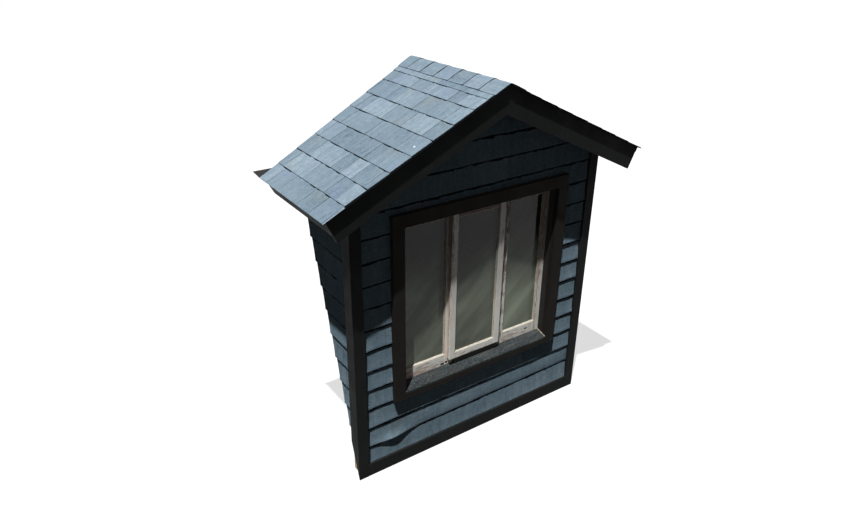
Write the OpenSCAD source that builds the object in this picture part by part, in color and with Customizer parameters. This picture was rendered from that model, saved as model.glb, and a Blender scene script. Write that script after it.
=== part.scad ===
// Gabled dormer with a three-sash window, framed in softwood and covered with lapped shingles.
// X runs to the right along the front wall, Y goes back into the main roof, Z is up.
// The origin is in the middle of the underside of the front wall's sole plate.
// All lengths are in millimetres, angles in degrees.

/* [Front wall] */
// Width over the cheek sheathing
wall_w = 1800; // [1500:10:2200]
// Thickness of studs, plates and rafters
stud_t = 38; // [32:1:45]
// Depth of studs and width of plates
stud_d = 89; // [75:1:120]
// Thickness of the wall sheathing
sheathing_t = 12; // [9:1:18]
// Distance between the studs under the sill and in the gable, centre to centre
stud_spacing = 400; // [300:10:450]

/* [Main roof seat] */
// Lean of the main roof from upright
seat_lean = 18.6; // [12:0.1:25]
// How far the main roof's deck stands in front of the wall sheathing at the foot
seat_toe = 20; // [0:1:40]

/* [Dormer roof] */
// Slope of the dormer roof
roof_pitch = 25.4; // [20:0.1:32]
// Height of the apex of the roof deck
ridge_h = 2402; // [2350:1:2600]
// Thickness of the roof deck
deck_t = 12; // [9:1:20]
// Depth of the rafters, square to the slope
rafter_d = 89; // [75:1:110]
// From the front sheathing to the face of the rake boards
front_overhang = 162; // [120:1:260]
// From the cheek sheathing to the upper outer corner of the eave fascia
side_overhang = 218; // [150:1:300]
// Distance between rafters, centre to centre
rafter_spacing = 400; // [300:10:450]
// Width of the rafters' seat on the wall plates
seat_cut = 46; // [30:1:70]
// Thickness of the soffit boards
soffit_t = 9; // [6:1:15]
// Free space between the two soffits under the ridge
soffit_gap = 2; // [1:0.5:5]

/* [Shingles] */
// Part of each course that stays uncovered
exposure = 143; // [110:1:200]
// Thickness of the covering at a course's lower edge
butt_t = 8; // [6:0.5:12]
// Thickness of a single shingle
shingle_t = 4; // [2:0.5:5]
// How far the roof shingles reach past the rake boards and the fascia
shingle_lip = 20; // [10:1:35]
// From the ridge to the lower edge of the last roof course, down the slope
last_course = 158; // [140:1:220]
// Width of the ridge caps on each side
cap_w = 122; // [90:1:135]
// Thickness of a ridge cap
cap_t = 4; // [2:0.5:6]
// Height of the lowest wall course's edge
first_course = 69; // [0:1:90]

/* [Trim] */
// Thickness of the corner boards and the base trim
trim_t = 23; // [18:1:30]
// Width of the corner boards' front leg on the wall
corner_w = 53; // [40:1:90]
// Thickness of the corner boards' side leg
corner_side_t = 20; // [15:1:30]
// Width of the corner boards' side leg
corner_side_w = 89; // [70:1:120]
// Height of the base trim
base_h = 95; // [60:1:140]
// Thickness of the rake boards and the fascia
rake_t = 19; // [15:1:30]
// Depth of the rake boards, square to the slope
rake_h = 150; // [130:1:200]
// Thickness of the drip edges and the valley flashings
flashing_t = 1.5; // [1:0.5:3]
// Width of the drip edges on the deck
drip_w = 60; // [40:1:90]
// Height of the drip edges' outer leg
drip_h = 35; // [20:1:60]
// Width of the valley flashings on the deck
valley_w = 90; // [60:1:150]
// How far the valley flashing's tip stands out past the eave shingles
tip_reach = 34; // [20:1:60]
// Height of the valley flashing's tip above the eave
tip_h = 44; // [25:1:70]

/* [Window] */
// Width between the jambs
window_w = 1156; // [900:1:1250]
// Height from the sill's front edge to the head
window_h = 1105; // [900:1:1130]
// Height of the sill's front edge
sill_h = 555; // [480:1:600]
// Fall of the sill towards the front
sill_slope = 16; // [8:0.5:20]
// Thickness of the sill's front edge
sill_nose_t = 15; // [10:1:20]
// From the sill's front edge down to its underside
sill_drop = 25; // [20:1:40]
// Thickness of the jambs and the head
jamb_t = 22; // [18:1:30]
// How far the jambs reach into the room past the studs
jamb_past = 20; // [10:1:40]
// Width of the casing boards
casing_w = 80; // [60:1:100]
// Thickness of the casing boards
casing_t = 38; // [25:1:45]
// Height of the casing board under the sill
apron_h = 40; // [25:1:70]
// From the sheathing back to the face of the outer sashes
sash_set = 44; // [30:1:50]
// Thickness of the sashes
sash_t = 28; // [24:1:40]
// Width of the left sash; the middle one closes what the outer two leave
left_sash_w = 408; // [330:1:430]
// Width of the right sash
right_sash_w = 390; // [330:1:430]
// Width of the sashes' stiles and top rails
stile_w = 45; // [35:1:60]
// Width of the outer sashes' stiles behind the middle sash
lapped_stile_w = 62; // [55:1:80]
// How far the middle sash laps over each outer one when it stands in the middle
sash_lap = 26; // [24:1:32]
// How far the middle sash is slid to the left
middle_slide = 20; // [0:1:21]
// Height of the outer sashes' bottom rails
rail_h = 80; // [60:1:95]
// Height of the middle sash's bottom rail
middle_rail_h = 45; // [30:1:60]
// Height of the middle sash's foot above the sill
middle_lift = 51; // [30:1:60]
// How far the rail under the middle sash comes forward to carry it
ledge_d = 16; // [8:1:20]
// Thickness of the panes
glass_t = 4; // [3:0.5:6]
// From the face of a sash to its pane
glass_set = 12; // [8:1:20]
// Height of the latch's middle above the sill's front edge
latch_h = 745; // [600:1:800]
// Length of the latch's plate
latch_len = 80; // [60:1:110]
// Width of the latch's plate
latch_w = 20; // [14:1:30]
// Thickness of the latch's plate and handle
latch_t = 3; // [2:0.5:5]
// From the edge of the stile to the latch's plate
latch_inset = 2; // [0:0.5:5]

/* [Hidden] */

// Colours
softwood = "burlywood";
board = "tan";
blue_grey = "lightsteelblue";
slate_blue = "slategray";
dark_brown = "#2a2320";
old_paint = "antiquewhite";
red_brown = "sienna";

// Larger than the dormer in every direction
far = 5000;
// How far a cutting shape reaches past what it cuts
past = 1;

// Front wall, from the outside to the inside
half_w = wall_w / 2;
stud_front = -stud_d / 2;
stud_back = stud_d / 2;
sheathing_face = stud_front - sheathing_t;
trim_face = sheathing_face - trim_t;
stud_x = half_w - sheathing_t;
inner_x = stud_x - stud_d;

// Window opening and the rough opening round it
window_top = sill_h + window_h;
rough_x = window_w / 2 + jamb_t;
rough_foot = sill_h - sill_drop;
rough_top = window_top + jamb_t;
casing_x = window_w / 2 + casing_w;
casing_foot = sill_h - sill_nose_t - apron_h;
casing_face = sheathing_face - casing_t;
jamb_back = stud_back + jamb_past;
sash_face = sheathing_face + sash_set;
sash_back = sash_face + sash_t;
middle_face = sash_face - sash_t;
left_joint = left_sash_w - window_w / 2;
right_joint = window_w / 2 - right_sash_w;
middle_x = [left_joint - sash_lap - middle_slide, right_joint + sash_lap - middle_slide];
function sill_top(y) = sill_h + (y - casing_face) * tan(sill_slope);
rail_top = sill_top(sash_face) + rail_h;
middle_rail_top = sill_top(middle_face) + middle_lift + middle_rail_h;
head_rail_foot = window_top - stile_w;

rafter_top = -deck_t;
rafter_foot = rafter_top - rafter_d;
soffit_foot = rafter_foot - soffit_t;

// The roof slope, with s down the slope from the apex and t out of it; z at a given x and t
function slope_z(x, t) = ridge_h + t / cos(roof_pitch) - x * tan(roof_pitch);
plate_top = slope_z(stud_x - seat_cut, rafter_foot);
plate_foot = plate_top - stud_t;
fascia_s = (half_w + side_overhang) / cos(roof_pitch);
rake_face = sheathing_face - front_overhang;
deck_front = rake_face + rake_t;
eave_s = fascia_s + shingle_lip;
shingle_front = rake_face - shingle_lip;
eave_x = eave_s * cos(roof_pitch);
cheek_top = slope_z(half_w, rafter_foot);
ridge_top = slope_z(stud_t / 2, rafter_top);
ridge_foot = slope_z(stud_t / 2, rafter_foot);

// The main roof's deck, where the dormer ends: a plane that leans back
seat_foot = sheathing_face - seat_toe;
function seat_y(z) = seat_foot + z * tan(seat_lean);
function seat_z(y) = (y - seat_foot) / tan(seat_lean);
// A plate that lies on the seat takes this much of a level line
plate_level = stud_t / cos(seat_lean);
rafter_count = floor((seat_y(plate_top) - 2 * stud_t - stud_front) / rafter_spacing);

// Studs that stand under the sill and in the gable
short_stud_count = floor((rough_x - stud_t) / stud_spacing);
gable_stud_count = floor((inner_x - 2 * stud_t) / stud_spacing);
cheek_gap = 150;
cheek_stud_pitch = cheek_gap + stud_t;
cheek_stud_count = floor((seat_y(plate_foot) - plate_level - stud_back) / cheek_stud_pitch);

// Box from one corner to the other
module box(low, high) {
  translate(low) cube(high - low);
}

// An outline in X and Z, drawn out from y0 to y1
module along_y(y0, y1) {
  translate([0, y1, 0]) rotate([90, 0, 0]) linear_extrude(y1 - y0) children();
}

// An outline in Y and Z, drawn out from x0 to x1
module along_x(x0, x1) {
  translate([x0, 0, 0]) rotate([90, 0, 90]) linear_extrude(x1 - x0) children();
}

module both_sides() {
  children();
  mirror([1, 0, 0]) children();
}

// Slope coordinates: X down the slope from the apex, Y as before, Z out of the slope
module on_slope() {
  translate([0, 0, ridge_h]) rotate([0, roof_pitch, 0]) children();
}

module slope_box(s, y, t) {
  on_slope() box([s[0], y[0], t[0]], [s[1], y[1], t[1]]);
}

// Keeps what lies to the right of x, for a plumb cut or a mitre
module right_of(x) {
  intersection() {
    children();
    translate([x, -far, -far]) cube([far, 2 * far, 2 * far]);
  }
}

// Everything from a plane parallel to the seat, as far in front of it as given, and on back
module seat_block(ahead) {
  shift = ahead / cos(seat_lean);
  along_x(-far, far)
    polygon([[seat_y(-far) - shift, -far], [2 * far, -far], [2 * far, far], [seat_y(far) - shift, far]]);
}

// Cuts off what would reach into the main roof
module cut_at_seat() {
  difference() {
    children();
    seat_block(0);
  }
}

// Everything under both roof slopes, at a height t above the deck
module under_roof(t) {
  along_y(-far, far)
    polygon([[-far, -far], [far, -far], [far, slope_z(far, t)], [0, slope_z(0, t)], [-far, slope_z(far, t)]]);
}

// Outline of lapped wall courses: each is thick at its lower edge and thin at the top
module wall_courses(top) {
  count = ceil((top - first_course) / exposure);
  steps = [for (i = [0:count - 1]) each [
    [-butt_t, first_course + i * exposure],
    [shingle_t - butt_t, first_course + (i + 1) * exposure]
  ]];
  polygon(concat(steps, [[0, first_course + count * exposure], [0, first_course]]));
}

// Framing

module sole_plate() {
  color(softwood) box([-stud_x, stud_front, 0], [stud_x, stud_back, stud_t]);
}

module stud(x, low, high) {
  box([x - stud_t / 2, stud_front, low], [x + stud_t / 2, stud_back, high]);
}

module wall_studs() {
  color(softwood) {
    both_sides() {
      box([inner_x, stud_front, stud_t], [stud_x, stud_back, plate_foot]);
      stud(rough_x + stud_t / 2, stud_t, plate_foot);
    }
    for (i = [-short_stud_count:short_stud_count]) {
      stud(i * stud_spacing, stud_t, rough_foot - stud_t);
    }
    intersection() {
      for (i = [-gable_stud_count:gable_stud_count]) {
        stud(i * stud_spacing, plate_top, i == 0 ? ridge_foot : ridge_h);
      }
      under_roof(rafter_foot);
    }
  }
}

module rough_sill() {
  color(softwood) box([-rough_x, stud_front, rough_foot - stud_t], [rough_x, stud_back, rough_foot]);
}

module window_header() {
  color(softwood) box([-rough_x, stud_front, rough_top], [rough_x, stud_back, plate_foot]);
}

module front_top_plate() {
  color(softwood) box([-stud_x, stud_front, plate_foot], [stud_x, stud_back, plate_top]);
}

module cheek_sole_plates() {
  color(softwood) both_sides() along_x(inner_x, stud_x) polygon([
    [stud_back, seat_z(stud_back)],
    [stud_back, seat_z(stud_back + plate_level)],
    [seat_y(plate_foot) - plate_level, plate_foot],
    [seat_y(plate_foot), plate_foot]
  ]);
}

module cheek_studs() {
  color(softwood) both_sides() for (i = [1:cheek_stud_count]) {
    y0 = stud_back + i * cheek_stud_pitch - stud_t;
    y1 = y0 + stud_t;
    along_x(inner_x, stud_x) polygon([
      [y0, seat_z(y0 + plate_level)],
      [y1, seat_z(y1 + plate_level)],
      [y1, plate_foot],
      [y0, plate_foot]
    ]);
  }
}

module cheek_top_plates() {
  color(softwood) both_sides() along_x(inner_x, stud_x) polygon([
    [stud_back, plate_foot],
    [seat_y(plate_foot), plate_foot],
    [seat_y(plate_top), plate_top],
    [stud_back, plate_top]
  ]);
}

module ridge_board() {
  color(softwood) cut_at_seat()
    box([-stud_t / 2, deck_front, ridge_foot], [stud_t / 2, far / 2, ridge_top]);
}

module rafter(y) {
  right_of(stud_t / 2)
    slope_box([-far, fascia_s - rake_t], [y, y + stud_t], [rafter_foot, rafter_top]);
}

// Each rafter is notched over the wall plate and stops at the ridge board
module rafters() {
  color(softwood) both_sides() difference() {
    union() {
      rafter(deck_front);
      for (i = [0:rafter_count]) {
        rafter(stud_front + i * rafter_spacing);
      }
    }
    front_top_plate();
    cheek_top_plates();
  }
}

// Planks on the seat that carry the deck's back edge
module valley_plates() {
  color(softwood) both_sides() difference() {
    intersection() {
      right_of(stud_t / 2)
        slope_box([-far, fascia_s - rake_t], [-far, far], [rafter_foot, rafter_top]);
      seat_block(stud_t);
    }
    seat_block(0);
    cheek_top_plates();
  }
}

// Sheathing and deck

module front_sheathing() {
  color(board) difference() {
    intersection() {
      box([-half_w, sheathing_face, 0], [half_w, stud_front, ridge_h]);
      under_roof(rafter_top);
    }
    box([-rough_x, sheathing_face - past, rough_foot], [rough_x, stud_front + past, rough_top]);
  }
}

module cheek_sheathing_right() {
  color(board) along_x(stud_x, half_w) polygon([
    [stud_front, seat_z(stud_front)],
    [seat_y(cheek_top), cheek_top],
    [stud_front, cheek_top]
  ]);
}

module cheek_sheathing_left() {
  mirror([1, 0, 0]) cheek_sheathing_right();
}

module roof_deck_right() {
  color(board) cut_at_seat() right_of(0)
    slope_box([-far, fascia_s], [deck_front, far / 2], [rafter_top, 0]);
}

module roof_deck_left() {
  mirror([1, 0, 0]) roof_deck_right();
}

// Covering

module front_shingles() {
  color(slate_blue) difference() {
    intersection() {
      translate([0, sheathing_face, 0]) along_x(corner_w - half_w, half_w - corner_w) wall_courses(ridge_h);
      under_roof(soffit_foot);
    }
    box([-half_w, -far, -far], [half_w, far, base_h]);
    box([-casing_x, -far, casing_foot], [casing_x, far, window_top + casing_w]);
  }
}

module cheek_shingles_right() {
  color(slate_blue) cut_at_seat() intersection() {
    translate([half_w, 0, 0]) rotate([0, 0, 90])
      along_x(trim_face + corner_side_w, far / 2) wall_courses(ridge_h);
    under_roof(soffit_foot);
  }
}

module cheek_shingles_left() {
  mirror([1, 0, 0]) cheek_shingles_right();
}

// Courses run up the slope at the exposure, and the last one is cut short under the ridge caps
module roof_courses() {
  count = floor((eave_s - last_course) / exposure);
  steps = [for (i = [0:count]) let (s = eave_s - i * exposure, next = i < count ? s - exposure : last_course)
    each [[s, butt_t], [next, butt_t - shingle_t]]];
  polygon(concat([[eave_s, 0]], steps, [[last_course, butt_t], [-exposure, butt_t], [-exposure, 0]]));
}

module roof_shingles_right() {
  color(blue_grey) difference() {
    cut_at_seat() right_of(0) on_slope() along_y(shingle_front, far / 2) roof_courses();
    drip_edge_right();
    valley_strip(past);
    valley_tip(past);
  }
}

module roof_shingles_left() {
  mirror([1, 0, 0]) roof_shingles_right();
}

// Outline of the lapped ridge caps, in Y and out of the slope, with their thick edges to the front
module cap_courses() {
  count = ceil((seat_y(slope_z(0, butt_t)) - shingle_front) / exposure) + 1;
  steps = [for (i = [0:count - 1]) each [
    [shingle_front + i * exposure, butt_t + cap_t + shingle_t],
    [shingle_front + (i + 1) * exposure, butt_t + cap_t]
  ]];
  polygon(concat(steps, [[shingle_front + count * exposure, butt_t], [shingle_front, butt_t]]));
}

module ridge_caps() {
  color(blue_grey) cut_at_seat() both_sides() right_of(0) on_slope() along_x(-cap_w, cap_w) cap_courses();
}

// Roof trim

module rake_board_right() {
  color(dark_brown) right_of(0) slope_box([-far, fascia_s], [rake_face, deck_front], [-rake_h, 0]);
}

module rake_board_left() {
  mirror([1, 0, 0]) rake_board_right();
}

module eave_fascia_right() {
  color(dark_brown) cut_at_seat()
    slope_box([fascia_s - rake_t, fascia_s], [deck_front, far / 2], [soffit_foot, rafter_top]);
}

module eave_fascia_left() {
  mirror([1, 0, 0]) eave_fascia_right();
}

module rake_soffits() {
  color(dark_brown) both_sides() right_of(soffit_gap / 2)
    slope_box([-far, fascia_s - rake_t], [deck_front, sheathing_face], [soffit_foot, rafter_foot]);
}

module eave_soffits() {
  color(dark_brown) both_sides() cut_at_seat() right_of(half_w)
    slope_box([0, fascia_s - rake_t], [sheathing_face, far / 2], [soffit_foot, rafter_foot]);
}

// Folded strips on the rake and the eave, whose upper leg stops at the valley flashing
module drip_edge_right() {
  drip_front = rake_face - flashing_t;
  drip_s = fascia_s + flashing_t;
  color(dark_brown) right_of(0) {
    slope_box([-far, drip_s], [drip_front, rake_face + drip_w], [0, flashing_t]);
    slope_box([-far, drip_s], [drip_front, rake_face], [-drip_h, 0]);
    difference() {
      slope_box([fascia_s - drip_w, drip_s], [drip_front, far / 2], [0, flashing_t]);
      seat_block(valley_w);
    }
    difference() {
      slope_box([fascia_s, drip_s], [drip_front, far / 2], [-drip_h, 0]);
      seat_block(0);
    }
  }
}

module drip_edge_left() {
  mirror([1, 0, 0]) drip_edge_right();
}

// The three-cornered end of a valley flashing, which stands on the seat and shows past the eave
module valley_tip(back) {
  eave_z = slope_z(eave_x, 0);
  tip_z = eave_z + tip_h;
  tip_join = eave_x - tip_h / tan(roof_pitch);
  up = 1 / cos(seat_lean);
  translate([0, seat_foot, 0]) rotate([90 - seat_lean, 0, 0]) translate([0, 0, -back])
    linear_extrude(flashing_t + back)
      polygon([[eave_x, eave_z * up], [eave_x + tip_reach, tip_z * up], [tip_join, tip_z * up]]);
}

// The strip on the deck along the seat; a cut for it reaches past it by extra, except upwards
module valley_strip(extra) {
  right_of(-extra) difference() {
    intersection() {
      slope_box([-far, eave_s + extra], [-far, far], [-extra, flashing_t]);
      seat_block(valley_w);
    }
    seat_block(-extra);
  }
}

module valley_flashings() {
  color(dark_brown) both_sides() {
    valley_strip(0);
    valley_tip(0);
  }
}

// Wall trim

module corner_board_right() {
  outer_x = half_w + corner_side_t;
  color(dark_brown) difference() {
    intersection() {
      union() {
        box([half_w - corner_w, trim_face, 0], [outer_x, sheathing_face, ridge_h]);
        box([half_w, trim_face, 0], [outer_x, trim_face + corner_side_w, ridge_h]);
      }
      under_roof(soffit_foot);
    }
    right_of(half_w) seat_block(0);
  }
}

module corner_board_left() {
  mirror([1, 0, 0]) corner_board_right();
}

module base_trim() {
  color(dark_brown)
    box([corner_w - half_w, trim_face, 0], [half_w - corner_w, sheathing_face, base_h]);
}

// Window casing

module casing_head() {
  color(dark_brown)
    box([-casing_x, casing_face, window_top], [casing_x, sheathing_face, window_top + casing_w]);
}

module casing_sides() {
  color(dark_brown) both_sides()
    box([window_w / 2, casing_face, casing_foot], [casing_x, sheathing_face, window_top]);
}

module casing_apron() {
  color(dark_brown)
    box([-window_w / 2, casing_face, casing_foot], [window_w / 2, sheathing_face, casing_foot + apron_h]);
}

// Window

module window_sill() {
  color(slate_blue) {
    along_x(-rough_x, rough_x) polygon([
      [sheathing_face, rough_foot],
      [jamb_back, rough_foot],
      [jamb_back, sill_top(jamb_back)],
      [sheathing_face, sill_top(sheathing_face)]
    ]);
    along_x(-window_w / 2, window_w / 2) polygon([
      [casing_face, sill_h - sill_nose_t],
      [sheathing_face, sill_h - sill_nose_t],
      [sheathing_face, sill_top(sheathing_face)],
      [casing_face, sill_h]
    ]);
  }
}

// Everything under the sill's sloping top, raised by lift
module under_sill_top(lift) {
  translate([0, 0, lift]) along_x(-far, far)
    polygon([[-far, -far], [far, -far], [far, sill_top(far)], [-far, sill_top(-far)]]);
}

// Raised rail between the posts, as high as the outer sashes' rails.
// The middle sash laps over its face and stands on the ledge along it.
module middle_track() {
  box([left_joint, sash_face, 0], [right_joint, jamb_back, rail_top]);
  along_x(left_joint, right_joint) polygon([
    [sash_face - ledge_d, 0],
    [sash_face, 0],
    [sash_face, sill_top(sash_face) + middle_lift],
    [sash_face - ledge_d, sill_top(sash_face - ledge_d) + middle_lift]
  ]);
}

// Jambs, head, posts and raised rail: what is left when the space between them is cut out.
// Each post stands behind the stile of an outer sash.
module window_frame() {
  color(red_brown) difference() {
    box([-rough_x, sheathing_face, rough_foot], [rough_x, jamb_back, rough_top]);
    difference() {
      box([-window_w / 2, -far, 0], [window_w / 2, far, window_top]);
      box([left_joint - lapped_stile_w, sash_back, 0], [left_joint, jamb_back, far]);
      box([right_joint, sash_back, 0], [right_joint + lapped_stile_w, jamb_back, far]);
      middle_track();
    }
    under_sill_top(0);
  }
}

// The daylight openings of the three sashes, in X
left_light = [stile_w - window_w / 2, left_joint - lapped_stile_w];
middle_light = [middle_x[0] + stile_w, middle_x[1] - stile_w];
right_light = [right_joint + lapped_stile_w, window_w / 2 - stile_w];

// One sash between two places in X: a frame round its light, with its foot cut to the sill's slope
module sash(x, y, light, rail, lift) {
  color(old_paint) difference() {
    box([x[0], y, 0], [x[1], y + sash_t, window_top]);
    box([light[0], -far, rail], [light[1], far, head_rail_foot]);
    under_sill_top(lift);
  }
}

module sash_left() {
  sash([-window_w / 2, left_joint], sash_face, left_light, rail_top, 0);
}

module sash_middle() {
  sash(middle_x, middle_face, middle_light, middle_rail_top, middle_lift);
}

module sash_right() {
  sash([right_joint, window_w / 2], sash_face, right_light, rail_top, 0);
}

module pane(face, light, rail) {
  box([light[0], face + glass_set, rail], [light[1], face + glass_set + glass_t, head_rail_foot]);
}

module panes() {
  color("darkseagreen", 0.5) {
    pane(sash_face, left_light, rail_top);
    pane(middle_face, middle_light, middle_rail_top);
    pane(sash_face, right_light, rail_top);
  }
}

// A plate on the room side of the right sash, with a turned-up handle
module sash_latch() {
  x = window_w / 2 - stile_w + latch_inset + latch_w / 2;
  z = sill_h + latch_h;
  grip = latch_w / 2;
  color("silver") {
    box([x - latch_w / 2, sash_back, z - latch_len / 2],
      [x + latch_w / 2, sash_back + latch_t, z + latch_len / 2]);
    translate([x, sash_back + latch_t, z]) rotate([-90, 0, 0]) cylinder(h = grip, d = grip, $fn = 32);
    box([x - grip / 2, sash_back + latch_t + grip, z - latch_len / 2],
      [x + grip / 2, sash_back + 2 * latch_t + grip, z + grip / 2]);
  }
}

sole_plate();
wall_studs();
rough_sill();
window_header();
front_top_plate();
cheek_sole_plates();
cheek_studs();
cheek_top_plates();
ridge_board();
rafters();
valley_plates();
front_sheathing();
cheek_sheathing_left();
cheek_sheathing_right();
roof_deck_left();
roof_deck_right();
front_shingles();
cheek_shingles_left();
cheek_shingles_right();
roof_shingles_left();
roof_shingles_right();
ridge_caps();
rake_board_left();
rake_board_right();
eave_fascia_left();
eave_fascia_right();
rake_soffits();
eave_soffits();
drip_edge_left();
drip_edge_right();
valley_flashings();
corner_board_left();
corner_board_right();
base_trim();
casing_head();
casing_sides();
casing_apron();
window_sill();
window_frame();
sash_left();
sash_middle();
sash_right();
panes();
sash_latch();
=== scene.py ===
"""Looks of a gabled dormer window: lapped shingles, wrapped trim, old painted sashes, rough framing.

Metres throughout. X runs to the right along the front wall, Y back into the main roof, Z up.
"""
import math
import random

import bmesh
import bpy
from mathutils import Matrix, Vector, noise


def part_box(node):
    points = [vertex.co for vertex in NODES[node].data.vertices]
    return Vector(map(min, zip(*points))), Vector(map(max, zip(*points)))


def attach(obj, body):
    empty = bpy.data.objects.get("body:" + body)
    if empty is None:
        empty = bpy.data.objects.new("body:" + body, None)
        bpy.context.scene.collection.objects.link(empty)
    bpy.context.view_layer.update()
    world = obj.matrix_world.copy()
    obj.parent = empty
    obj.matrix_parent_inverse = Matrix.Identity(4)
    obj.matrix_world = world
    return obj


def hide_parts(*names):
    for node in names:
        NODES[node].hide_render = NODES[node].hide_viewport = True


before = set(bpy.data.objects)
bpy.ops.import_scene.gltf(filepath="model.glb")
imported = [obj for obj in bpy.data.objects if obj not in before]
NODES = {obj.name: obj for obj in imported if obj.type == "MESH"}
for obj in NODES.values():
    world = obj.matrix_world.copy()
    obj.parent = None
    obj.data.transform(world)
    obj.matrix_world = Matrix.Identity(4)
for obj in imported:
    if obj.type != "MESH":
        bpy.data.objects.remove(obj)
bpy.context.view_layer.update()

# Driving sizes, the same as the part's own
PITCH = math.radians(25.4)
SEAT_LEAN = math.radians(18.6)
SEAT_TOE = 0.020
SOFFIT_DEPTH = 0.110
EXPOSURE = 0.143
FIRST_COURSE = 0.069
LAST_COURSE = 0.158
SHINGLE_LIP = 0.020
CAP_WIDTH = 0.122
CORNER_WIDTH = 0.053
CORNER_SIDE_WIDTH = 0.089
STILE_WIDTH = 0.045
LAPPED_STILE_WIDTH = 0.062
RAIL_HEIGHT = 0.080
MIDDLE_RAIL_HEIGHT = 0.045
SASH_THICKNESS = 0.028
SILL_SLOPE = math.radians(16)
SILL_HEIGHT = 0.555
GLASS_SET = 0.012
CASING_WIDTH = 0.080

# Places read off the frame
HALF_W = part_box("front_sheathing")[1].x
WALL_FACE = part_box("front_sheathing")[0].y
RIDGE_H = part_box("roof_deck_left")[1].z
FASCIA_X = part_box("roof_deck_right")[1].x
RAKE_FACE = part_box("rake_board_left")[0].y
BASE_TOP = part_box("base_trim")[1].z
TRIM_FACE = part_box("base_trim")[0].y
CASING_LOW, CASING_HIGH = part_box("casing_sides")[0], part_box("casing_head")[1]
EAVE_S = FASCIA_X / math.cos(PITCH) + SHINGLE_LIP
SHINGLE_FRONT = RAKE_FACE - SHINGLE_LIP
SEAT_FOOT = WALL_FACE - SEAT_TOE

# Shingles: a base sheet and the raised teeth on it
SHEET_LENGTH = 1.0
SHEET_THICKNESS = 0.0028
BASE_AT_TOP = 0.0024
HEAD_LAP = 0.022
FREE_EDGE = 0.07
WORN_EDGE, WORN_BY = 0.0016, 0.0005


# Small helpers

def mix(a, b, share):
    return a + (b - a) * share


def smooth(x):
    x = min(1.0, max(0.0, x))
    return x * x * (3 - 2 * x)


def ripple(*at):
    """Smooth noise between -1 and 1 at a point."""
    return noise.noise(Vector(at))


def colour(red, green, blue):
    """A colour given by its 0 to 255 screen values, as the linear values that shaders take."""
    def linear(value):
        value /= 255
        return value / 12.92 if value <= 0.04045 else ((value + 0.055) / 1.055) ** 2.4
    return (linear(red), linear(green), linear(blue), 1.0)


def new_object(name, data):
    made = bpy.data.objects.new(name, data)
    bpy.context.scene.collection.objects.link(made)
    return made


def mesh_object(name, bm, materials):
    """A new object made from a bmesh, which is used up."""
    mesh = bpy.data.meshes.new(name)
    bm.to_mesh(mesh)
    bm.free()
    for material in materials:
        mesh.materials.append(material)
    return new_object(name, mesh)


def new_piece(name, bm, materials, replaces=(), flat=False):
    """Makes a piece of the dormer from a bmesh and lets it ride on the frame."""
    piece = mesh_object(name, bm, materials)
    if not flat:
        piece.data.polygons.foreach_set("use_smooth", [True] * len(piece.data.polygons))
    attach(piece, "root")
    if replaces:
        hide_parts(*replaces)
    return piece


def weave(bm, lines, layer, tone):
    """Faces between rows of corners, each with the tone of its shingle."""
    for low, high in zip(lines, lines[1:]):
        for i in range(len(low) - 1):
            face = bm.faces.new((low[i], low[i + 1], high[i + 1], high[i]))
            face[layer] = tone


def wrap(bm, rings, ends=False):
    """Faces between rings of corners, and over both ends where they are asked for."""
    for a, b in zip(rings, rings[1:]):
        for i in range(len(a)):
            j = (i + 1) % len(a)
            bm.faces.new((a[i], a[j], b[j], b[i]))
    if ends:
        bm.faces.new(rings[0][::-1])
        bm.faces.new(rings[-1])


def planes_round(x_low, x_high, z_low, z_high):
    """A point and a normal for each of the four sides of a rectangle in the wall."""
    return (((x_low, 0, 0), (1, 0, 0)), ((x_high, 0, 0), (1, 0, 0)),
            ((0, 0, z_low), (0, 0, 1)), ((0, 0, z_high), (0, 0, 1)))


# Shader nodes

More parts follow.
